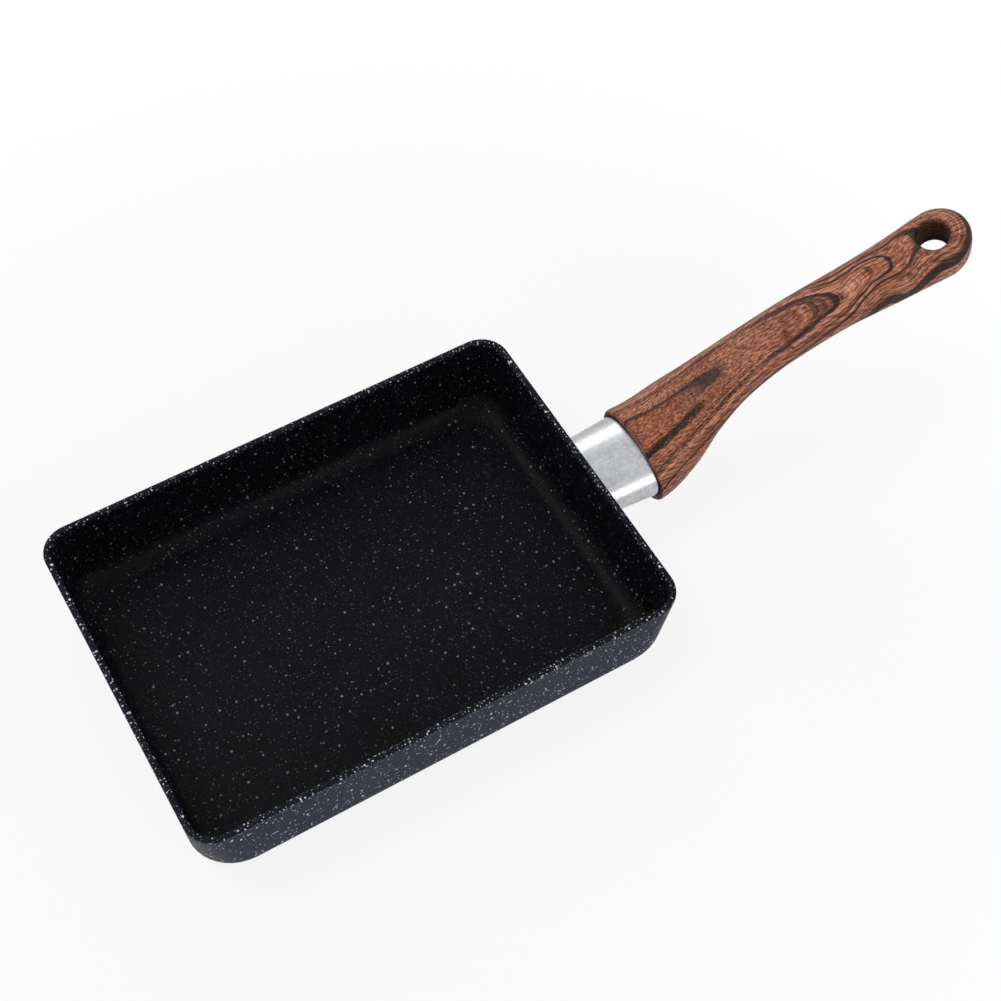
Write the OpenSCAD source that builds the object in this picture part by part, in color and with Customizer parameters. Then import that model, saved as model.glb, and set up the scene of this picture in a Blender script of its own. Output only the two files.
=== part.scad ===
// Rectangular rolled-omelette pan with a wood-grain handle.
// Millimetres. The origin is the middle of the flat base, +X runs to the handle, +Z is up.

/* [Pan] */
// Outer length of the rim, along the handle's direction
rim_l = 185; // [160:1:220]
// Outer width of the rim
rim_w = 135; // [115:1:170]
// Height of the rim above the base
pan_h = 36; // [33:0.5:44]
// Lean of the walls from upright, in degrees
draft = 3; // [2:0.5:5]
// Outer corner radius at the rim
rim_corner = 10.8; // [8:0.1:14]
// Outer corner radius at the base
base_corner = 20.5; // [16:0.5:24]
// Thickness of the walls
wall_t = 2.4; // [2:0.1:3]
// Thickness of the floor
floor_t = 3; // [2.5:0.1:4]
// Outer radius where the walls turn into the base
base_fillet = 11; // [7:0.5:12]
// Inner radius where the walls turn into the floor
floor_fillet = 8; // [5:0.5:8.5]
// Radius of the rim's two edges
rim_edge = 0.8; // [0.4:0.1:0.9]

/* [Base plate] */
// Length of the perforated plate
plate_l = 150; // [120:2:160]
// Width of the perforated plate
plate_w = 100; // [80:2:108]
// Corner radius of the plate
plate_corner = 6; // [3:0.5:10]
// Thickness of the plate
plate_t = 0.5; // [0.4:0.1:0.8]
// Diameter of its holes
plate_hole_d = 4.5; // [3:0.5:6]
// Distance between hole centres
plate_pitch = 10; // [9:0.5:12]

/* [Flame guard] */
// Depth of the guard's axis below the rim
neck_drop = 12.9; // [12.4:0.1:13.6]
// Distance from the rim line to the front face of the handle
neck_l = 20.4; // [16:0.1:24]
// Width of the guard where it enters the handle
guard_w = 37.4; // [35:0.1:37.6]
// Height of the guard where it enters the handle
guard_h = 19.8; // [19:0.1:21]
// Share of that size which the guard keeps at the pan
guard_taper = 0.89; // [0.86:0.01:1]
// Thickness of the guard's sheet
guard_t = 1; // [0.8:0.1:1.2]
// Depth to which the guard sits in the handle
guard_seat = 4; // [3:0.5:5]

/* [Handle] */
// Distance from the front face to the middle of the round end
end_from_front = 128.4; // [122:0.1:140]
// Radius of the round end
end_r = 12.9; // [12.4:0.1:14]
// Slope of the handle's end, in degrees
end_slope = 15.5; // [12:0.5:17]
// Diameter of the hang hole
hang_d = 11.6; // [10:0.1:12]
// Distance from the middle of the round end back to the hang hole
hang_back = 0.8; // [0:0.1:2]
// Radius of the hang hole's rounded lips
hang_lip = 2; // [0.8:0.1:2.4]
// Radius of the front edge
front_edge = 1.2; // [0.6:0.1:1.6]

/* [Fastening] */
// Width of the boss that is welded to the wall
boss_w = 16; // [14:0.5:17]
// Height of the boss
boss_h = 10; // [9.5:0.5:11]
// Width of the weld foot's rim round the boss
boss_rim = 1.5; // [1:0.1:2]
// Depth to which the boss sits in the handle
boss_seat = 5; // [4.5:0.1:5.5]
// Thread diameter of the screw
screw_d = 5; // [4:0.5:5]
// Diameter of the screw's head
head_d = 9; // [8:0.5:9.5]
// Height of the screw's head
head_h = 3.2; // [2.8:0.1:3.6]
// Thickness of the handle's web under the screw
web_t = 3; // [2.5:0.1:3.5]

/* [Hidden] */
$fn = 48;

// Clearance round a piece that slides into a pocket
fit = 0.15;
// Length by which a cutter runs past the faces that it cuts
past = 1;
// Segments in a quarter circle of an outline
arc_steps = 10;

// Height of the guard's axis above the base, and distance of the outer wall from the middle there
neck_z = pan_h - neck_drop;
wall_x = rim_l / 2 - neck_drop * tan(draft);

// Places along X, from the pan to the hanging end
front_x = rim_l / 2 + neck_l;
guard_end_x = front_x + guard_seat;
boss_end_x = front_x + boss_seat;
seat_x = boss_end_x + fit + web_t;
end_x = front_x + end_from_front;
hole_x = end_x - hang_back;

// Corner radius of the boss and of its socket
boss_corner = 2.5;

// Washers under the screw's head
washer_d = 10;
washer_t = 1;
lock_d = 8.6;
lock_t = 1.3;
lock_gap = 1.2;
head_x = seat_x + washer_t + lock_t;
// Room for the head, the washers and the driver
recess_d = washer_d + 0.8;
screw_l = 20;

// Power of the guard's oval: 2 is an ellipse, and more is squarer
guard_power = 2.1;
// Handle, from its front face to its round end, in the columns
// distance, width, thickness, height of the top above the base, power of the section's oval,
// share by which the section narrows from its middle to its top
STATIONS = [
    [0, 41, 26.6, pan_h, 2.1, 0],
    [8, 38.6, 29.4, pan_h + 3.2, 2.1, 0],
    [18, 34.7, 26.7, pan_h + 8.4, 2.2, 0],
    [29, 28.3, 20, pan_h + 14.5, 2.2, 0],
    [42, 23.9, 15.8, pan_h + 20.7, 2.3, 0.01],
    [60, 21.9, 14, pan_h + 26.5, 2.5, 0.02],
    [83, 21.6, 12.9, pan_h + 30.6, 2.7, 0.04],
    [105, 23.5, 12, pan_h + 32.6, 3, 0.06],
    [end_from_front, 2 * end_r, 15.2, pan_h + 38.3, 3.2, 0.08]
];
// The same at the round end
END = STATIONS[len(STATIONS) - 1];
end_h = END[2];
end_top = END[3];
// Points round one cross-section, and cross-sections along the straight part and round the end
section_points = 44;
straight_rings = 44;
end_rings = 12;

// Points on an arc about c, from angle a0 to angle a1
function arc(c, r, a0, a1, steps = arc_steps) =
    [for (i = [0:steps]) let (a = a0 + (a1 - a0) * i / steps) c + r * [cos(a), sin(a)]];

// Outline of a rectangle with round corners
function rounded_rect(l, w, r) = [
    for (q = [0:3])
        let (c = [(q == 0 || q == 3 ? 1 : -1) * (l / 2 - r), (q < 2 ? 1 : -1) * (w / 2 - r)])
        each arc(c, r, 90 * q, 90 * q + 90)
];

// Point of a rounded oval of half sizes 1 at angle a
function oval(a, power) = [
    sign(cos(a)) * pow(abs(cos(a)), 2 / power),
    sign(sin(a)) * pow(abs(sin(a)), 2 / power)
];

// Point j of a cross-section of half sizes 1: a rounded oval, narrower at the top
function section_point(j, power, narrowing) =
    let (p = oval(360 * j / section_points - 90, power))
    [p.x * (1 - narrowing * p.y), p.y];

// Outline of a rounded oval
function oval_outline(w, h, power, steps = section_points) =
    [for (i = [0:steps - 1]) let (p = oval(360 * i / steps, power)) [p.x * w / 2, p.y * h / 2]];

// Rise of column c between row i of table t and the next row
function rise(t, c, i) = (t[i + 1][c] - t[i][c]) / (t[i + 1][0] - t[i][0]);

// Slope at row i of the smooth curve through column c, which makes no bump between rows
function slope(t, c, i) =
    i == 0 ? rise(t, c, 0)
    : i == len(t) - 1 ? rise(t, c, i - 1)
    : rise(t, c, i - 1) * rise(t, c, i) <= 0 ? 0
    : 2 / (1 / rise(t, c, i - 1) + 1 / rise(t, c, i));

// Row at which the stretch that holds x starts
function row_at(t, x, i = 0) = i >= len(t) - 2 || x < t[i + 1][0] ? i : row_at(t, x, i + 1);

// Value of column c at x, on a cubic curve between two rows
function smooth(t, c, x) =
    let (
        i = row_at(t, x),
        span = t[i + 1][0] - t[i][0],
        s = (x - t[i][0]) / span
    )
    (2 * s ^ 3 - 3 * s ^ 2 + 1) * t[i][c]
    + (s ^ 3 - 2 * s ^ 2 + s) * span * slope(t, c, i)
    + (3 * s ^ 2 - 2 * s ^ 3) * t[i + 1][c]
    + (s ^ 3 - s ^ 2) * span * slope(t, c, i + 1);

// Closed solid through rings of points, each ring as long as the others
module skin(rings) {
    n = len(rings[0]);
    last = len(rings) - 1;
    polyhedron(
        points = [for (r = rings) each r],
        faces = concat(
            [[for (j = [0:n - 1]) j]],
            [for (i = [0:last - 1], j = [0:n - 1]) [i * n + j, (i + 1) * n + j, (i + 1) * n + (j + 1) % n]],
            [for (i = [0:last - 1], j = [0:n - 1]) [i * n + j, (i + 1) * n + (j + 1) % n, i * n + (j + 1) % n]],
            [[for (j = [n - 1:-1:0]) last * n + j]]
        )
    );
}

// The pan's outline at a height z, drawn in from the rim by inset, with its inner faces inner_by inside
function pan_ring(inset, z, inner_by = 0) =
    let (corner = rim_corner + (base_corner - rim_corner) * (1 - z / pan_h) ^ 2 - inner_by)
    [for (p = rounded_rect(rim_l - 2 * inset, rim_w - 2 * inset, corner)) [p.x, p.y, z]];

// The pan's shell: rings up the outside, over the rim and down to the floor
module shell() {
    // Wall faces, as inset = offset + drop below the rim * tan(draft)
    outer_off = rim_edge * (1 - 1 / cos(draft)) - rim_edge * tan(draft);
    inner_off = outer_off + wall_t / cos(draft);
    foot = [outer_off + (pan_h - base_fillet) * tan(draft) + base_fillet / cos(draft), base_fillet];
    bowl_z = floor_t + floor_fillet;
    bowl = [inner_off + (pan_h - bowl_z) * tan(draft) + floor_fillet / cos(draft), bowl_z];
    outer_rim = [rim_edge, pan_h - rim_edge];
    inner_rim = [wall_t - rim_edge, pan_h - rim_edge];
    rim_steps = 4;
    skin(concat(
        [for (p = arc(foot, base_fillet, 270, 180 + draft)) pan_ring(p.x, p.y)],
        [for (p = arc(outer_rim, rim_edge, 180 + draft, 90, rim_steps)) pan_ring(p.x, p.y)],
        [for (p = arc(inner_rim, rim_edge, 90, draft, rim_steps)) pan_ring(p.x, p.y, wall_t)],
        [for (p = arc(bowl, floor_fillet, 180 + draft, 270)) pan_ring(p.x, p.y, wall_t)]
    ));
}

// Pressed aluminium pan, with a shallow pocket for the plate in its base
module pan_body() {
    color("#23262e")
        difference() {
            shell();
            translate([0, 0, -past])
                linear_extrude(past + plate_t)
                    polygon(rounded_rect(plate_l + 2 * fit, plate_w + 2 * fit, plate_corner + fit));
        }
}

// Perforated steel plate, pressed into the base so that the pan heats on an induction hob
module base_plate() {
    // Even counts keep the middle of the plate whole
    holes_x = 2 * floor((plate_l - plate_pitch) / plate_pitch / 2);
    holes_y = 2 * floor(plate_w / plate_pitch / 2);
    color("#b4b7ba")
        difference() {
            linear_extrude(plate_t) polygon(rounded_rect(plate_l, plate_w, plate_corner));
            for (i = [0:holes_x - 1], j = [0:holes_y - 1])
                translate([(i - (holes_x - 1) / 2) * plate_pitch, (j - (holes_y - 1) / 2) * plate_pitch, -past])
                    cylinder(d = plate_hole_d, h = plate_t + 2 * past);
        }
}

// Everything on the pan's side of the outer wall, to trim what is fixed to it
module behind_wall() {
    translate([rim_l / 2, 0, pan_h])
        rotate([0, draft, 0])
            translate([-rim_l, -rim_w, -3 * pan_h])
                cube([rim_l, 2 * rim_w, 4 * pan_h]);
}

// Places a shape drawn across the guard's axis, with its extrusion along +X from x
module on_neck(x) {
    translate([x, 0, neck_z]) rotate([90, 0, 90]) children();
}

// Aluminium boss, welded to the wall, with a threaded hole for the screw
module handle_boss() {
    foot_l = 3;
    foot_corner = 4;
    color("#a9adb2")
        difference() {
            union() {
                on_neck(wall_x - foot_l)
                    linear_extrude(2 * foot_l)
                        polygon(rounded_rect(boss_w + 2 * boss_rim, boss_h + 2 * boss_rim, foot_corner));
                on_neck(wall_x)
                    linear_extrude(boss_end_x - wall_x)
                        polygon(rounded_rect(boss_w, boss_h, boss_corner));
            }
            behind_wall();
            on_neck(boss_end_x - screw_l + past) cylinder(d = screw_d, h = screw_l);
        }
}

// Flared oval tube that keeps the flame off the handle
module flame_guard() {
    full_l = guard_end_x - wall_x + 2 * guard_t;
    color("#c9cbcc")
        difference() {
            on_neck(guard_end_x)
                mirror([0, 0, 1])
                    linear_extrude(full_l, scale = guard_taper)
                        difference() {
                            polygon(oval_outline(guard_w, guard_h, guard_power));
                            polygon(oval_outline(guard_w - 2 * guard_t, guard_h - 2 * guard_t, guard_power));
                        }
            behind_wall();
        }
}

// Point j of the handle's cross-section at distance d from the front, made smaller by inset
function straight_point(d, j, inset = 0) =
    let (
        w = smooth(STATIONS, 1, d),
        h = smooth(STATIONS, 2, d),
        top = smooth(STATIONS, 3, d),
        p = section_point(j, smooth(STATIONS, 4, d), smooth(STATIONS, 5, d))
    )
    [front_x + d, p.x * (w / 2 - inset), top - h / 2 + p.y * (h / 2 - inset)];

// Point j of the cross-section that has turned by angle a about the middle of the round end
function end_point(a, j) =
    let (
        p = section_point(j, END[4], END[5]),
        reach = abs(p.x) * end_r * sin(a)
    )
    [end_x + reach, p.x * end_r * cos(a), end_top - end_h / 2 + p.y * end_h / 2 + reach * tan(end_slope)];

// Moulded handle before it is hollowed: cross-sections joined by triangles
module handle_blank() {
    all_points = [for (j = [0:section_points - 1]) j];
    front = [for (a = [0, 30, 60]) [front_edge * (1 - cos(a)), front_edge * (1 - sin(a))]];
    straight_l = end_from_front - front_edge;
    skin_rings = concat(
        [for (f = front) [for (j = all_points) straight_point(f[0], j, f[1])]],
        [
            for (i = [0:straight_rings])
                [for (j = all_points) straight_point(front_edge + straight_l * i / straight_rings, j)]
        ],
        [for (i = [1:end_rings]) [for (j = all_points) end_point(90 * i / end_rings, j)]]
    );
    last = len(skin_rings) - 1;
    // The two sides of the last ring lie on each other, so they share their points
    index = function (i, j)
        let (k = j % section_points)
        i * section_points + (i == last && k > section_points / 2 ? section_points - k : k);
    polyhedron(
        points = [for (r = skin_rings) each r],
        faces = concat(
            [all_points],
            [
                for (i = [0:last - 1], j = all_points)
                    [index(i, j), index(i + 1, j + 1), index(i, j + 1)]
            ],
            [
                for (i = [0:last - 1], j = all_points)
                    if (index(i + 1, j) != index(i + 1, j + 1))
                        [index(i, j), index(i + 1, j), index(i + 1, j + 1)]
            ]
        )
    );
}

// Cutter for the hang hole, square to the handle's end, with rounded lips
module hang_hole() {
    r = hang_d / 2;
    half = end_h / 2 * cos(end_slope);
    lip_steps = 6;
    translate([hole_x, 0, end_top - end_h / 2 - hang_back * tan(end_slope)])
        rotate([0, -end_slope, 0])
            rotate_extrude()
                polygon(concat(
                    [[0, -half - past], [r + hang_lip + past, -half - past]],
                    [[r + hang_lip + past, -half]],
                    arc([r + hang_lip, -half + hang_lip], hang_lip, 270, 180, lip_steps),
                    arc([r + hang_lip, half - hang_lip], hang_lip, 180, 90, lip_steps),
                    [[r + hang_lip + past, half]],
                    [[r + hang_lip + past, half + past], [0, half + past]]
                ));
}

// Phenolic handle: sockets for the guard and the boss, a deep recess for the screw, a hang hole
module handle() {
    color("#7c4a39")
        difference() {
            handle_blank();
            on_neck(front_x - past)
                linear_extrude(past + guard_seat + fit)
                    polygon(oval_outline(guard_w + 2 * fit, guard_h + 2 * fit, guard_power));
            on_neck(front_x - past)
                linear_extrude(past + boss_seat + fit)
                    polygon(rounded_rect(boss_w + 2 * fit, boss_h + 2 * fit, boss_corner + fit));
            on_neck(front_x) cylinder(d = screw_d + 0.5, h = seat_x - front_x + past);
            on_neck(seat_x) cylinder(d = recess_d, h = 4 * recess_d);
            hang_hole();
        }
}

// Pan-head screw with a cross recess
module handle_screw() {
    slot_w = 1.1;
    slot_l = 5;
    slot_depth = 1.8;
    shank_d = screw_d - 0.2;
    edge_r = 1;
    color("#c4c7c9")
        on_neck(head_x)
            difference() {
                rotate_extrude()
                    polygon(concat(
                        [[0, 0.6 - screw_l], [shank_d / 2 - 0.6, 0.6 - screw_l], [shank_d / 2, 1.2 - screw_l]],
                        [[shank_d / 2, 0], [head_d / 2, 0]],
                        arc([head_d / 2 - edge_r, head_h - edge_r - 0.3], edge_r, 0, 75, 5),
                        [[0, head_h]]
                    ));
                for (turn = [0, 90])
                    rotate(turn)
                        translate([-slot_l / 2, -slot_w / 2, head_h - slot_depth])
                            cube([slot_l, slot_w, slot_depth + past]);
            }
}

// Split lock washer
module lock_washer() {
    color("#8d9092")
        on_neck(seat_x + washer_t)
            difference() {
                cylinder(d = lock_d, h = lock_t);
                translate([0, 0, -past]) cylinder(d = screw_d + 0.3, h = lock_t + 2 * past);
                translate([0, -lock_gap / 2, -past]) cube([lock_d, lock_gap, lock_t + 2 * past]);
            }
}

// Flat washer that bears on the handle's web
module flat_washer() {
    color("#b9bcbe")
        on_neck(seat_x)
            difference() {
                cylinder(d = washer_d, h = washer_t);
                translate([0, 0, -past]) cylinder(d = screw_d + 0.3, h = washer_t + 2 * past);
            }
}

pan_body();
base_plate();
handle_boss();
flame_guard();
handle();
handle_screw();
lock_washer();
flat_washer();
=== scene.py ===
"""Rectangular pan with a wood-grain handle: looks over the CAD frame. Metres."""

import math

import bpy
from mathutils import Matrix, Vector


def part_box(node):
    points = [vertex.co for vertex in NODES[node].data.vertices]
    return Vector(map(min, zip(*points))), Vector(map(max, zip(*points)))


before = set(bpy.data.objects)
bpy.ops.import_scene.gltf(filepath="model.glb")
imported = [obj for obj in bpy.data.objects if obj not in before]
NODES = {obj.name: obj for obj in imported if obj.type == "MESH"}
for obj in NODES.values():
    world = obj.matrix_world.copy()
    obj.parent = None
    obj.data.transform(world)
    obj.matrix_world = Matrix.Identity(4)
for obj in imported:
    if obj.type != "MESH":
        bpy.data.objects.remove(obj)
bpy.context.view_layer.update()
MM = 0.001
HALF = (0.5, 0.5, 0.5)


# shader helpers

class Graph:
    """The node tree of a new material, or of a given owner, with short calls that return sockets."""

    def __init__(self, name, owner=None):
        self.mat = owner or bpy.data.materials.new(name)
        self.mat.use_nodes = True
        self.tree = self.mat.node_tree
        self.nodes = self.tree.nodes
        self.bsdf = self.nodes.get("Principled BSDF")
        self.out = self.nodes.get("Material Output")

    def link(self, a, b):
        self.tree.links.new(a, b)

    def feed(self, socket, value):
        if isinstance(value, bpy.types.NodeSocket):
            self.link(value, socket)
        elif isinstance(value, (tuple, list)) and len(value) == 3 and socket.type == "RGBA":
            socket.default_value = (*value, 1)
        else:
            socket.default_value = value

    def object_point(self):
        return self.nodes.new("ShaderNodeTexCoord").outputs["Object"]

    def mapping(self, vector, loc=(0, 0, 0), scale=(1, 1, 1)):
        n = self.nodes.new("ShaderNodeMapping")
        self.link(vector, n.inputs["Vector"])
        n.inputs["Location"].default_value = loc
        n.inputs["Scale"].default_value = scale
        return n.outputs[0]

    def math(self, op, a, b=0.0, c=0.0, clamp=False):
        n = self.nodes.new("ShaderNodeMath")
        n.operation = op
        n.use_clamp = clamp
        for s, v in zip(n.inputs, (a, b, c)):
            self.feed(s, v)
        return n.outputs[0]

    def add(self, a, b):
        return self.math("ADD", a, b)

    def sub(self, a, b):
        return self.math("SUBTRACT", a, b)

    def mul(self, a, b):
        return self.math("MULTIPLY", a, b)

    def div(self, a, b):
        return self.math("DIVIDE", a, b)

    def mad(self, a, b, c):
        """a times b, plus c."""
        return self.math("MULTIPLY_ADD", a, b, c)

    def larger(self, a, b):
        return self.math("MAXIMUM", a, b)

    def vmath(self, op, a, b=(0, 0, 0)):
        n = self.nodes.new("ShaderNodeVectorMath")
        n.operation = op
        self.feed(n.inputs[0], a)
        self.feed(n.inputs[1], b)
        return n.outputs["Value" if op in ("LENGTH", "DOT_PRODUCT") else "Vector"]

    def scaled(self, v, k):
        n = self.nodes.new("ShaderNodeVectorMath")
        n.operation = "SCALE"
        self.feed(n.inputs[0], v)
        self.feed(n.inputs["Scale"], k)
        return n.outputs["Vector"]

    def across(self, v, unit):
        """What is left of a vector once its share along a unit vector is taken out."""
        return self.vmath("SUBTRACT", v, self.scaled(unit, self.vmath("DOT_PRODUCT", v, unit)))

    def separate(self, v):
        n = self.nodes.new("ShaderNodeSeparateXYZ")
        self.link(v, n.inputs[0])
        return n.outputs[0], n.outputs[1], n.outputs[2]

    def combine(self, x, y, z):
        n = self.nodes.new("ShaderNodeCombineXYZ")
        for s, v in zip(n.inputs, (x, y, z)):
            self.feed(s, v)
        return n.outputs[0]

    def noise(self, vector, scale, detail=2.0, rough=0.5, color=False):
        n = self.nodes.new("ShaderNodeTexNoise")
        self.link(vector, n.inputs["Vector"])
        n.inputs["Scale"].default_value = scale
        n.inputs["Detail"].default_value = detail
        n.inputs["Roughness"].default_value = rough
        return n.outputs["Color" if color else "Fac"]

    def ramp(self, fac, *stops):
        n = self.nodes.new("ShaderNodeValToRGB")
        e = n.color_ramp.elements
        while len(e) < len(stops):
            e.new(0.5)
        for el, (pos, col) in zip(e, stops):
            el.position = pos
            el.color = (*col, 1) if isinstance(col, (tuple, list)) else (col, col, col, 1)
        self.link(fac, n.inputs["Fac"])
        return n.outputs["Color"]

    def remap(self, v, a, b, lo=0.0, hi=1.0, smooth=True):
        """lo up to a, hi from b on, and a smooth or straight change between them. b may be less than a."""
        n = self.nodes.new("ShaderNodeMapRange")
        n.interpolation_type = "SMOOTHSTEP" if smooth else "LINEAR"
        n.clamp = True
        self.link(v, n.inputs["Value"])
        for key, x in (("From Min", a), ("From Max", b), ("To Min", lo), ("To Max", hi)):
            n.inputs[key].default_value = x
        return n.outputs["Result"]

    def curve(self, value, points):
        """Value read off a smooth curve through points, which all lie between 0 and 1."""
        n = self.nodes.new("ShaderNodeFloatCurve")
        line = n.mapping.curves[0]
        while len(line.points) < len(points):
            line.points.new(0.5, 0.5)
        for point, at in zip(line.points, points):
            point.location = at
        n.mapping.use_clip = False
        n.mapping.update()
        self.link(value, n.inputs["Value"])
        return n.outputs[0]

    def mix(self, fac, a, b):
        n = self.nodes.new("ShaderNodeMix")
        n.data_type = "RGBA"
        n.blend_type = "MIX"
        self.feed(n.inputs["Factor"], fac)
        self.feed(n.inputs["A"], a)
        self.feed(n.inputs["B"], b)
        return n.outputs["Result"]

    def bump(self, height, strength, distance, normal=None):
        n = self.nodes.new("ShaderNodeBump")
        n.inputs["Strength"].default_value = strength
        n.inputs["Distance"].default_value = distance
        self.link(height, n.inputs["Height"])
        if normal is not None:
            self.link(normal, n.inputs["Normal"])
        return n.outputs["Normal"]

    def set(self, **values):
        names = {"color": "Base Color", "rough": "Roughness", "metal": "Metallic",
                 "specular": "Specular IOR Level", "normal": "Normal"}
        for key, v in values.items():
            self.feed(self.bsdf.inputs[names[key]], v)
        return self.mat


def srgb(r, g, b):
    """Linear colour of 0-255 screen values."""
    low_end = 10.3
    return tuple(v / 255 / 12.92 if v <= low_end else ((v / 255 + 0.055) / 1.055) ** 2.4
                 for v in (r, g, b))


# speckled coating of the pan

NAVY = (srgb(24, 28, 43), srgb(33, 37, 56))
# Painted shade: the dark tones given to the inside of the pan, which has the same navy coating
INSIDE_SHADE = (srgb(7, 7, 10), srgb(12, 12, 16))
SPECK = srgb(226, 229, 234)
# Noise scales, per metre: cloudy tone, ragged edges of the specks, dust, and the surface's pebbling
CLOUD_SCALE = 45
RAGGED_SCALE = 2300
DUST_SCALE = 3400
PEBBLE_SCALE = 1900
# The noise's span between the darker and the lighter tone
CLOUD_FROM, CLOUD_TO = 0.3, 0.7
# Heights between which the wall turns into the rim, and the rim's share of navy, the rest of it being
# painted shade like the inside
RIM_FROM, RIM_TO = 33.5 * MM, 35.2 * MM
RIM_NAVY = 0.28
# Specks: least and most across, share of the cells that hold one, size and shift of the cells, and how
# much greater the share is on the rim
FINE = {"least": 0.28 * MM, "most": 0.6 * MM, "share": 0.36, "cell": 1.5 * MM, "shift": 0.0, "extra": 0.5}
MIDDLE = {"least": 0.4 * MM, "most": 0.95 * MM, "share": 0.24, "cell": 3.3 * MM, "shift": 3.1, "extra": 0.2}
HOOKS = {"length": 2.2 * MM, "width": 0.26 * MM, "share": 0.12, "cell": 6 * MM, "shift": 5.3}
# How strongly the specks show inside the pan, where painted shade dims them, against 1 outside and on the
# rim
FINE_IN_SHADE = 0.15
MIDDLE_IN_SHADE = 0.28
HOOK_TONE = 0.75
DUST_TONE = 0.1
SPECK_EDGE = 0.1 * MM
HOOK_RAGGED = 1.2 * MM


def coating():
    """Navy grey with pale specks on the outside. Painted shade makes the inside a very dark grey with dim
    specks, and the rim lies between the two.
    """
    g = Graph("speckled_coating")
    p = g.object_point()
    x, y, z = g.separate(p)
    normal = g.nodes.new("ShaderNodeTexCoord").outputs["Normal"]
    nx, ny, nz = g.separate(normal)
    # 1 where a face looks away from the pan's middle, -1 where it looks inwards or up
    away = g.mad(nx, g.math("SIGN", x), g.mul(ny, g.math("SIGN", y)))
    # Painted shade: faces that look inwards or up get the dark tones, dimmer specks and no hooks
    outside = g.remap(g.sub(away, nz), -0.25, 0.35)
    rim = g.remap(z, RIM_FROM, RIM_TO)
    cloud = g.noise(p, CLOUD_SCALE, 4, 0.6)
    navy = g.ramp(cloud, (CLOUD_FROM, NAVY[0]), (CLOUD_TO, NAVY[1]))
    shaded_inside = g.ramp(cloud, (CLOUD_FROM, INSIDE_SHADE[0]), (CLOUD_TO, INSIDE_SHADE[1]))
    base = g.mix(g.larger(outside, g.mul(rim, RIM_NAVY)), shaded_inside, navy)
    jitter = g.vmath("SUBTRACT", g.noise(p, RAGGED_SCALE, 1, color=True), HALF)

    def layer(cell, shift, reach):
        """Place within each cell, flat on the surface and with a ragged edge, and three random numbers."""
        v = g.mapping(p, loc=(shift, shift * 0.7, shift * 0.3))
        v = g.vmath("ADD", v, g.scaled(jitter, reach))
        n = g.nodes.new("ShaderNodeTexVoronoi")
        g.link(v, n.inputs["Vector"])
        n.inputs["Scale"].default_value = 1 / cell
        local = g.across(g.vmath("SUBTRACT", v, n.outputs["Position"]), normal)
        return g.vmath("MULTIPLY", local, (1, 1, 0.75)), n.outputs["Color"]

    def dots(least, most, share, cell, shift, extra):
        """Ragged specks, and a random number for each one's tone."""
        local, random = layer(cell, shift, 0.8 * most)
        for_size, for_share, for_tone = g.separate(random)
        there = g.math("LESS_THAN", for_share, g.mad(rim, extra, share))
        radius = g.mad(g.math("POWER", for_size, 2), (most - least) / 2, least / 2)
        depth = g.div(g.sub(radius, g.vmath("LENGTH", local)), SPECK_EDGE)
        return g.mul(g.remap(depth, -0.6, 0.6), there), for_tone

    def strokes(length, width, share, cell, shift):
        """Short thin hooks that point any way."""
        local, random = layer(cell, shift, HOOK_RAGGED)
        for_share = g.separate(random)[1]
        way = g.vmath("SUBTRACT", random, HALF)
        way = g.vmath("NORMALIZE", g.across(way, normal))
        along = g.math("ABSOLUTE", g.vmath("DOT_PRODUCT", local, way))
        off = g.vmath("LENGTH", g.across(local, way))
        line = g.mul(g.remap(off, width * 0.4, width * 0.7, 1, 0),
                     g.remap(along, length * 0.4, length * 0.5, 1, 0))
        return g.mul(line, g.math("LESS_THAN", for_share, share))

    # Specks keep their full tone only where there is no painted shade
    unshaded = g.larger(outside, rim)
    fine, fine_tone = dots(**FINE)
    fine = g.mul(fine, g.mad(g.math("POWER", fine_tone, 1.8), 0.9, 0.1))
    fine = g.mul(fine, g.mad(unshaded, 1 - FINE_IN_SHADE, FINE_IN_SHADE))
    middle, middle_tone = dots(**MIDDLE)
    middle = g.mul(middle, g.mad(middle_tone, 0.5, 0.5))
    middle = g.mul(middle, g.mad(unshaded, 1 - MIDDLE_IN_SHADE, MIDDLE_IN_SHADE))
    hooks = g.mul(strokes(**HOOKS), outside)
    spots = g.larger(g.larger(fine, middle), g.mul(hooks, HOOK_TONE))
    dust = g.remap(g.noise(p, DUST_SCALE, 1), 0.66, 0.78)
    spots = g.larger(spots, g.mul(dust, DUST_TONE))
    rough = g.add(g.remap(cloud, CLOUD_FROM, CLOUD_TO, 0.42, 0.5), g.mul(spots, 0.1))
    n = g.bump(g.noise(p, PEBBLE_SCALE, 2), 0.3, 0.06 * MM)
    n = g.bump(spots, 0.5, 0.05 * MM, n)
    return g.set(color=g.mix(spots, base, SPECK), rough=rough, specular=0.05, normal=n)


# metals

# Noise scales, per metre, and how much the brush lines, the patches and the grain count in the tone
PATCH_SCALE = 90
GRAIN_SCALE = 700
LINES_SHARE, PATCH_SHARE, GRAIN_SHARE = 0.2, 0.35, 0.45
BRUSH_STRETCH = 0.03
# The tone's span between dark and light
TONE_FROM, TONE_TO = 0.38, 0.62
ALONG_X, ALONG_Y = 0, 1


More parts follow.
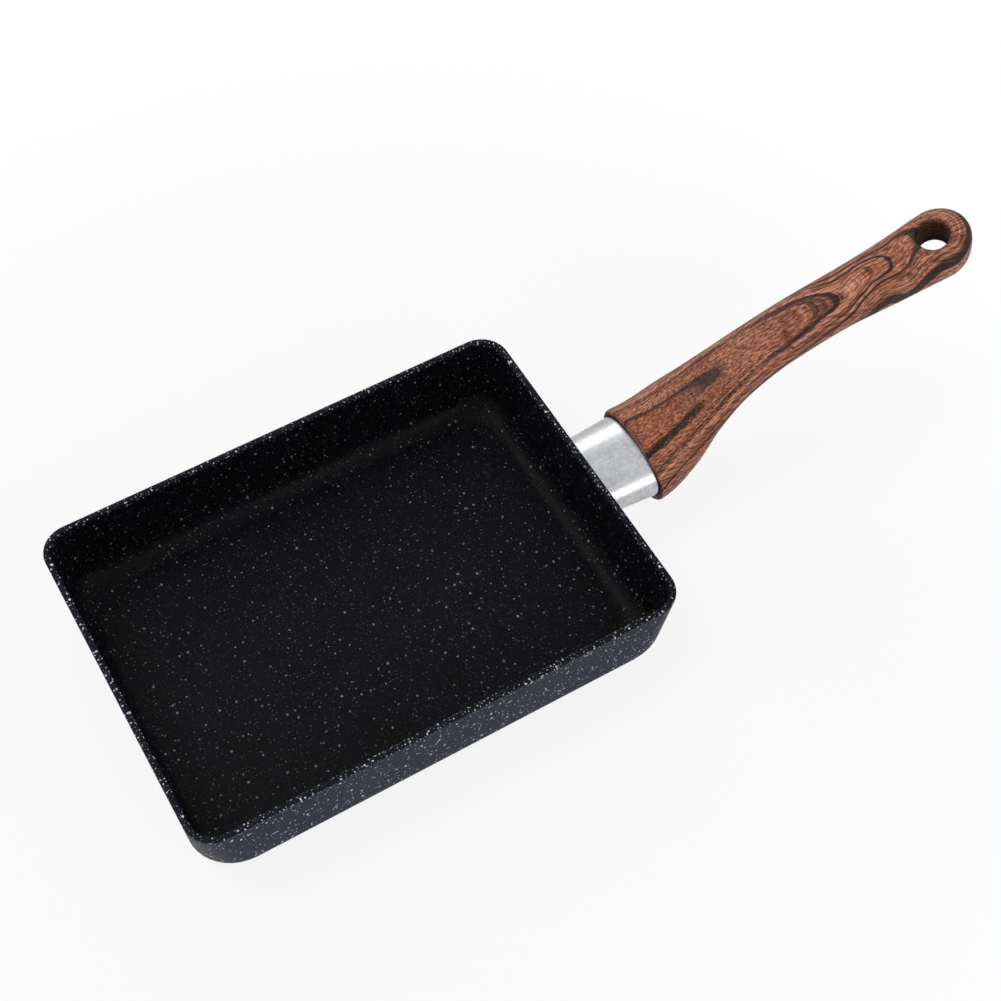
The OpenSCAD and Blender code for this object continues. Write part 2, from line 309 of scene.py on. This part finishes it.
def brushed(name, light, dark, rough, along, scale=900):
    """Metal from light to dark with fine brush lines along one axis, 0 for x or 1 for y."""
    g = Graph(name)
    p = g.object_point()
    stretch = [1.0, 1.0, 1.0]
    stretch[along] = BRUSH_STRETCH
    lines = g.noise(g.mapping(p, scale=stretch), scale, 3, 0.6)
    patch = g.noise(p, PATCH_SCALE, 4, 0.6)
    grain = g.noise(p, GRAIN_SCALE, 3, 0.65)
    tone = g.add(g.mul(lines, LINES_SHARE), g.mul(patch, PATCH_SHARE))
    tone = g.mad(grain, GRAIN_SHARE, tone)
    color = g.ramp(tone, (TONE_FROM, dark), (TONE_TO, light))
    r = g.remap(tone, TONE_FROM, TONE_TO, rough + 0.07, rough - 0.05)
    return g.set(color=color, rough=r, metal=1.0, normal=g.bump(tone, 0.25, 0.03 * MM))


# wood print of the handle: all sizes in mm

# Height of the handle's top above the base against the distance from its front face
TOP_LINE = ((0, 36), (8, 39.2), (18, 44.4), (29, 50.5), (42, 56.7), (60, 62.5), (83, 66.6), (105, 68.6),
            (128.4, 74.3), (145, 78.9))
# The grain's middle line: sideways place against the distance from the front face
MIDDLE_LINE = ((0, -1.6), (12, -2.1), (24, -2.2), (34, -1.6), (48, -1.1), (62, -1.3), (73, -1.3),
               (83, -2.4), (91, -0.6), (100, 1.2), (109, 0.8), (119, 3.2), (130, 0.6), (145, 0))
# How narrow its arches are against the distance from the front face
NARROW = ((0, 1.05), (14, 1.18), (33, 1.15), (57, 1.06), (72, 1.0), (84, 1.14), (96, 1.24), (108, 0.95),
          (120, 0.85), (145, 0.9))
# Length of these lines, and the spans of values that their curves hold
GRAIN_END = 145
TOP_SPAN = 100
MIDDLE_SPAN = 20
NARROW_SPAN = 2
# An arch falls back by ARCH_RISE times the distance across it to ARCH_POWER, as far as ARCH_NOSE from
# its middle, and by ARCH_FALL per mm beyond that
ARCH_NOSE = 6.5
ARCH_RISE = 0.03
ARCH_POWER = 3.3
ARCH_FALL = 5
# How much a mm of height counts across the grain
DROP_SHARE = 0.75
# Reach of the three waves that bend the grain, and what the first two are drawn out by along the handle
BIG_WAVE = 1.2
SMALL_WAVE = 0.6
WANDER = 3
WAVE_STRETCH = 0.3
# Across the grain, where its lines begin to turn down the sides, and where they have
SIDES_FROM, SIDES_TO = 3, 7

# Colours of the print
RUSSET = srgb(138, 74, 48)
BLACK_BROWN = srgb(44, 34, 34)
DARK_BROWN = srgb(62, 45, 41)
UMBER = srgb(92, 60, 51)
BROWN = srgb(118, 72, 57)
MID_BROWN = srgb(134, 82, 64)
WARM_BROWN = srgb(148, 92, 71)
LIGHT_BROWN = srgb(158, 104, 83)
TAN = srgb(167, 112, 90)
OUTLINE_BROWN = srgb(42, 32, 32)
GAP_BROWN = srgb(128, 76, 56)
PALE_FIBRE = srgb(206, 160, 128)
STREAK_BROWN = srgb(36, 24, 20)
PORE_BROWN = srgb(34, 22, 19)
# Painted shade inside the hang hole
HOLE_SHADE_BROWN = srgb(26, 14, 10)
BARE = srgb(23, 19, 19)
# Tones of the grain against the distance along the handle at which its arches have their tips
TONES = ((0, BROWN), (7, RUSSET), (16, RUSSET), (23, BROWN), (28, DARK_BROWN), (33, DARK_BROWN),
         (37, MID_BROWN), (50, WARM_BROWN), (67, BROWN), (69, WARM_BROWN), (72, MID_BROWN),
         (74, DARK_BROWN), (75.6, MID_BROWN), (77, DARK_BROWN), (78.6, MID_BROWN), (80, BROWN),
         (83.2, BROWN), (85, LIGHT_BROWN), (91, TAN), (97, WARM_BROWN), (99, UMBER), (100.5, WARM_BROWN),
         (104.5, WARM_BROWN), (106.6, BROWN), (108, BROWN), (109.6, WARM_BROWN), (117.5, WARM_BROWN),
         (119.2, DARK_BROWN), (123, BLACK_BROWN), (125, MID_BROWN), (134, MID_BROWN), (145, WARM_BROWN))
# The same farther out, down the sides and round the hang hole, where the lines run straight
SIDES = ((145, WARM_BROWN), (148, UMBER), (151, LIGHT_BROWN), (156, MID_BROWN), (158, UMBER),
         (161, WARM_BROWN), (166, MID_BROWN), (168, DARK_BROWN), (186, BLACK_BROWN), (188, WARM_BROWN),
         (191, TAN), (194, BROWN), (196, LIGHT_BROWN), (203, WARM_BROWN), (206, DARK_BROWN),
         (210, WARM_BROWN), (218, TAN), (222, UMBER), (227, WARM_BROWN), (236, MID_BROWN),
         (240, DARK_BROWN), (246, WARM_BROWN), (256, LIGHT_BROWN), (262, UMBER), (270, WARM_BROWN),
         (290, BROWN))
# The arches' dark outlines: where their tips are along the handle, and how thick they are
OUTLINES = ((81.6, 1.7), (107.4, 1.0))
# How far in front of its tip an outline begins to show, and is full
OUTLINE_FADE = 45
OUTLINE_FULL = 12
# Places along the handle: the first arch's missing limb, and the streak's end
GAP_FROM, GAP_TO = 19, 25
STREAK_FULL, STREAK_END = 22, 27
# The dark streak near the front: sideways place at the front face, and its slant
STREAK_AT = 7.47
STREAK_SLANT = 0.116

# Middle, slope and radius of the hang hole
HOLE_AT = (240.5, 0.0, 66.5)
HOLE_SLOPE = math.radians(15.5)
HOLE_R = 5.8
# Height of the middle of the front opening, its half width and half height, and the screw recess's radius
NECK_Z = 23.1
MOUTH_Y = 18.7
MOUTH_Z = 9.9
RECESS_R = 5.6


def grain_run(g, p, x, y, z, u):
    """How far along the run of arches each point lies, and its distances across the grain.

    side is the signed distance from the grain's middle line. s is the distance from that line over the
    sides and round the hang hole, and nose is the part of s within the arches' noses. small is a fine
    wobble that the other parts of the print share.
    """
    place = g.div(u, GRAIN_END)
    top = g.curve(place, [(a / GRAIN_END, b / TOP_SPAN) for a, b in TOP_LINE])
    middle = g.curve(place, [(a / GRAIN_END, 0.5 + b / MIDDLE_SPAN) for a, b in MIDDLE_LINE])
    narrow = g.curve(place, [(a / GRAIN_END, b / NARROW_SPAN) for a, b in NARROW])
    drop = g.larger(g.sub(g.mul(top, TOP_SPAN * DROP_SHARE), g.mul(z, DROP_SHARE)), 0)
    long_p = g.mapping(p, scale=(WAVE_STRETCH, 1, 1))
    big = g.sub(g.noise(long_p, 90, 2, 0.5), 0.5)
    small = g.sub(g.noise(long_p, 420, 3, 0.6), 0.5)
    side = g.sub(y, g.mad(middle, MIDDLE_SPAN, -MIDDLE_SPAN / 2))
    side = g.add(side, g.mul(big, BIG_WAVE))
    past = g.larger(g.sub(x, HOLE_AT[0]), 0)
    s = g.math("SQRT", g.mad(side, side, g.mul(past, past)))
    s = g.add(s, g.mad(small, SMALL_WAVE, drop))
    s = g.larger(g.mul(s, g.mul(narrow, NARROW_SPAN)), 0)
    nose = g.math("MINIMUM", s, ARCH_NOSE)
    arch = g.mad(g.sub(s, nose), ARCH_FALL, g.mul(g.math("POWER", nose, ARCH_POWER), ARCH_RISE))
    wander = g.sub(g.noise(p, 60, 3, 0.55), 0.5)
    phase = g.add(g.add(u, arch), g.mul(wander, WANDER))
    return g.math("PINGPONG", phase, 2 * GRAIN_END), side, s, nose, small


def arch_color(g, u, phase, side, nose, small):
    """Bands of the arches, with their dark outlines."""
    share = g.div(phase, GRAIN_END)
    color = g.ramp(share, *[(a / GRAIN_END, c) for a, c in TONES])
    far = g.ramp(g.sub(share, 1), *[(a / GRAIN_END - 1, c) for a, c in SIDES])
    color = g.mix(g.math("GREATER_THAN", phase, GRAIN_END), color, far)
    # The outlines grow thinner down the arches' limbs and fade towards the front
    steep = g.mad(g.math("POWER", nose, 2 * (ARCH_POWER - 1)), (ARCH_RISE * ARCH_POWER) ** 2, 1)
    steep = g.mul(g.math("SQRT", steep), g.remap(nose, 0, 4.5, 1.6, 1))
    for tip, width in OUTLINES:
        off_line = g.div(g.math("ABSOLUTE", g.sub(phase, tip)), steep)
        off_line = g.mad(small, 0.5, off_line)
        dark = g.mul(g.remap(off_line, 0.35 * width, 0.65 * width, 1, 0),
                     g.remap(u, tip - OUTLINE_FADE, tip - OUTLINE_FULL, 0.15, 0.92))
        color = g.mix(dark, color, OUTLINE_BROWN)
    # The first arch has no near limb at its tip
    gap = g.mul(g.remap(side, -0.5, -2.2), g.remap(u, GAP_FROM, GAP_TO))
    gap = g.mul(gap, g.remap(phase, 40, 36))
    return g.mix(gap, color, GAP_BROWN)


def fibres(g, u, z, phase, side, s, color):
    """The colour with thin lines beside the arches and fibres along the handle, and the fibres' noise."""
    out = g.remap(s, SIDES_FROM, SIDES_TO)
    fine = g.noise(g.combine(g.mul(phase, 0.8), g.mul(u, 0.05), 0), 1, 3, 0.65)
    wide = g.noise(g.combine(g.mul(phase, 0.3), g.mul(u, 0.05), 4), 1, 3, 0.7)
    thin = g.mad(g.sub(wide, fine), out, fine)
    fibre = g.noise(g.combine(g.mul(u, 0.06), side, z), 1.6, 3, 0.62)
    depth = g.larger(out, g.remap(u, 66, 72))
    depth = g.mul(g.mad(depth, 0.85, 0.15), g.remap(u, 82, 95, 1, 0.65))
    lines = g.mul(g.remap(thin, 0.3, 0.7, -0.7, 0.8, False), depth)
    level = g.mul(g.add(lines, 1.04), g.remap(fibre, 0.36, 0.64, 0.4, 1.75, False))
    pale = g.mul(g.remap(g.separate(color)[0], 0.1, 0.24), g.remap(level, 1.1, 2.2, 0, 0.5))
    return g.mix(pale, g.scaled(color, level), PALE_FIBRE), fibre


def streak_and_pores(g, p, u, z, side, color):
    """The colour with a streak of dark dashes near the front and with pores, and the pores' mask."""
    track = g.math("ABSOLUTE", g.sub(side, g.mad(u, STREAK_SLANT, -STREAK_AT)))
    dashes = g.noise(g.combine(g.mul(u, 0.3), side, z), 2.1, 2, 0.6)
    streak = g.mul(g.remap(track, 2.1, 0.6), g.remap(u, STREAK_END, STREAK_FULL))
    streak = g.mul(streak, g.remap(dashes, 0.38, 0.5, 0.25, 0.95))
    color = g.mix(streak, color, STREAK_BROWN)
    pores = g.noise(g.combine(g.mul(u, 0.2), side, z), 1.1, 2, 0.5)
    pore = g.mul(g.remap(pores, 0.6, 0.68), g.remap(g.noise(p, 110, 2), 0.42, 0.6))
    return g.mix(g.mul(pore, 0.75), color, PORE_BROWN), pore


def print_masks(g, mm_point, y, z, u, small):
    """1 where the print covers the moulding, and 1 outside the hang hole's lips, each 0 elsewhere. Inside
    the lips the second mask lets painted shade darken the print.
    """
    front = g.remap(g.mad(small, 0.5, u), 0.1, 0.4)
    low = g.sub(z, NECK_Z)
    mouth = g.vmath("LENGTH", g.combine(0, g.div(y, MOUTH_Y), g.div(low, MOUTH_Z)))
    front = g.larger(front, g.remap(g.mad(small, 0.02, mouth), 1.08, 1.11))
    neck = g.math("SQRT", g.add(g.mul(low, low), g.mul(y, y)))
    covered = g.mul(front, g.math("GREATER_THAN", neck, RECESS_R))
    axis = (-math.sin(HOLE_SLOPE), 0, math.cos(HOLE_SLOPE))
    off = g.vmath("LENGTH", g.across(g.vmath("SUBTRACT", mm_point, HOLE_AT), axis))
    # Falls to 0 inside the hang hole, where the print gets painted shade
    beyond_hole_shade = g.remap(g.mad(small, 0.8, off), HOLE_R - 0.1, HOLE_R + 1.9)
    return covered, beyond_hole_shade


def grain_print():
    """Rosewood print on the moulded handle, with bare dark moulding in its front edge and recess, and
    painted shade inside the hang hole.
    """
    g = Graph("grain_print")
    p = g.object_point()
    mm_point = g.scaled(p, 1 / MM)
    x, y, z = g.separate(mm_point)
    u = g.sub(x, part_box("handle")[0][0] / MM)
    phase, side, s, nose, small = grain_run(g, p, x, y, z, u)
    color = arch_color(g, u, phase, side, nose, small)
    color, fibre = fibres(g, u, z, phase, side, s, color)
    color, pore = streak_and_pores(g, p, u, z, side, color)
    covered, beyond_hole_shade = print_masks(g, mm_point, y, z, u, small)
    # Painted shade: inside the hang hole the print is darkened most of the way to a dark brown
    color = g.mix(beyond_hole_shade, g.mix(0.8, color, HOLE_SHADE_BROWN), color)
    color = g.mix(covered, BARE, color)
    rough = g.remap(g.mad(pore, 0.3, g.noise(p, 500, 2)), 0.2, 1.1, 0.4, 0.5)
    rough = g.mad(g.sub(1, beyond_hole_shade), 0.5, rough)
    height = g.add(g.mul(fibre, covered), g.mul(g.noise(p, 900, 2), 0.3))
    return g.set(color=color, rough=rough, specular=0.1, normal=g.bump(height, 0.2, 0.04 * MM))


# materials and smooth shading of the CAD pieces

COATING = coating()
GUARD = brushed("brushed_aluminium", (0.58, 0.585, 0.6), (0.34, 0.345, 0.36), 0.27, ALONG_X)
BOSS = brushed("boss_aluminium", (0.62, 0.63, 0.65), (0.5, 0.5, 0.52), 0.4, ALONG_X)
PLATE = brushed("perforated_steel", (0.66, 0.66, 0.66), (0.5, 0.5, 0.5), 0.3, ALONG_X, 1500)
ZINC = brushed("zinc_plate", (0.7, 0.7, 0.72), (0.55, 0.55, 0.57), 0.33, ALONG_Y)
GRAIN = grain_print()

LOOKS = {"pan_body": COATING, "base_plate": PLATE, "handle_boss": BOSS, "flame_guard": GUARD,
         "handle": GRAIN, "handle_screw": ZINC, "lock_washer": ZINC, "flat_washer": ZINC}
# Farther than the gap between two copies of a point, and an angle above that of any smooth curve's steps
WELD_REACH = 0.004 * MM
SHARP = math.radians(32)

for name, mat in LOOKS.items():
    piece = NODES[name]
    piece.data.materials.clear()
    piece.data.materials.append(mat)
    for poly in piece.data.polygons:
        poly.use_smooth = True
    # The plate is flat all over, so it needs no smooth shading
    if name == "base_plate":
        continue
    weld = piece.modifiers.new("weld", "WELD")
    weld.merge_threshold = WELD_REACH
    split = piece.modifiers.new("split", "EDGE_SPLIT")
    split.split_angle = SHARP
    shade = piece.modifiers.new("shade", "WEIGHTED_NORMAL")
    shade.keep_sharp = True


# studio and camera

FLOOR_HALF = 6.0
# Share of plain white that the camera sees in the floor, from close to the pan to farther out
WHITE_CLOSE, WHITE_FAR = 0.86, 1.0
CLOSE, FAR = 0.18, 0.34
# The world's strength for light that falls on things. What is seen of it has a strength of 1.
WORLD_LIGHT = 0.45
# Lamps: place, point that it is turned to, width, height, watts
LAMPS = {"key": ((-0.6, 0.5, 1.5), (0.05, 0, 0), 0.9, 0.9, 10.8),
         "near": ((0.42, -0.92, 0.72), (0.1, 0, 0.03), 0.8, 0.46, 3.2),
         "far": ((0.40, 0.98, 0.62), (0.1, 0, 0.03), 0.8, 0.4, 2.1)}
SENSOR = 36
LENS = 67.22
VIEW_AZIMUTH = math.radians(-120)
VIEW_ELEVATION = math.radians(57.135)
VIEW_DISTANCE = 0.6615
VIEW_TARGET = (0.05694, -0.00025, 0.036)


def area_light(name, at, to, width, height, power):
    data = bpy.data.lights.new(name, "AREA")
    data.shape = "RECTANGLE"
    data.size = width
    data.size_y = height
    data.energy = power
    lamp = bpy.data.objects.new(name, data)
    bpy.context.scene.collection.objects.link(lamp)
    lamp.location = at
    lamp.rotation_euler = (Vector(to) - Vector(at)).to_track_quat("-Z", "Y").to_euler()


def seen(g):
    """1 for what the camera sees straight, mirrored or through glass, 0 for light that falls on things."""
    path = g.nodes.new("ShaderNodeLightPath")
    rays = g.add(path.outputs["Is Camera Ray"], path.outputs["Is Glossy Ray"])
    return g.math("ADD", rays, path.outputs["Is Transmission Ray"], clamp=True)


def studio():
    mesh = bpy.data.meshes.new("floor")
    s = FLOOR_HALF
    mesh.from_pydata([(-s, -s, 0), (s, -s, 0), (s, s, 0), (-s, s, 0)], [], [(0, 1, 2, 3)])
    floor = bpy.data.objects.new("floor", mesh)
    bpy.context.scene.collection.objects.link(floor)
    g = Graph("pale_floor")
    g.set(rough=0.9, specular=0.2)
    mottle = g.noise(g.object_point(), 3, 2)
    g.feed(g.bsdf.inputs["Base Color"], g.ramp(mottle, (0.3, 0.8), (0.7, 0.82)))
    glow = g.nodes.new("ShaderNodeEmission")
    glow.inputs["Strength"].default_value = 1.0
    blend = g.nodes.new("ShaderNodeMixShader")
    white = g.remap(g.vmath("LENGTH", g.object_point()), CLOSE, FAR, WHITE_CLOSE, WHITE_FAR)
    g.link(g.mul(seen(g), white), blend.inputs["Fac"])
    g.link(g.bsdf.outputs[0], blend.inputs[1])
    g.link(glow.outputs[0], blend.inputs[2])
    g.link(blend.outputs[0], g.out.inputs["Surface"])
    floor.data.materials.append(g.mat)

    world = bpy.data.worlds.new("studio")
    bpy.context.scene.world = world
    w = Graph("studio", world)
    back = w.nodes["Background"]
    back.inputs["Color"].default_value = (1, 1, 1, 1)
    w.link(w.mad(seen(w), 1 - WORLD_LIGHT, WORLD_LIGHT), back.inputs["Strength"])

    for name, lamp in LAMPS.items():
        area_light(name, *lamp)


def camera():
    data = bpy.data.cameras.new("camera")
    data.sensor_width = SENSOR
    data.lens = LENS
    data.clip_start = 0.01
    view = bpy.data.objects.new("camera", data)
    bpy.context.scene.collection.objects.link(view)
    level = math.cos(VIEW_ELEVATION)
    back = Vector((level * math.cos(VIEW_AZIMUTH), level * math.sin(VIEW_AZIMUTH), math.sin(VIEW_ELEVATION)))
    view.location = Vector(VIEW_TARGET) + back * VIEW_DISTANCE
    view.rotation_euler = back.to_track_quat("Z", "Y").to_euler()
    bpy.context.scene.camera = view


studio()
camera()
bpy.context.scene.view_settings.view_transform = "Standard"
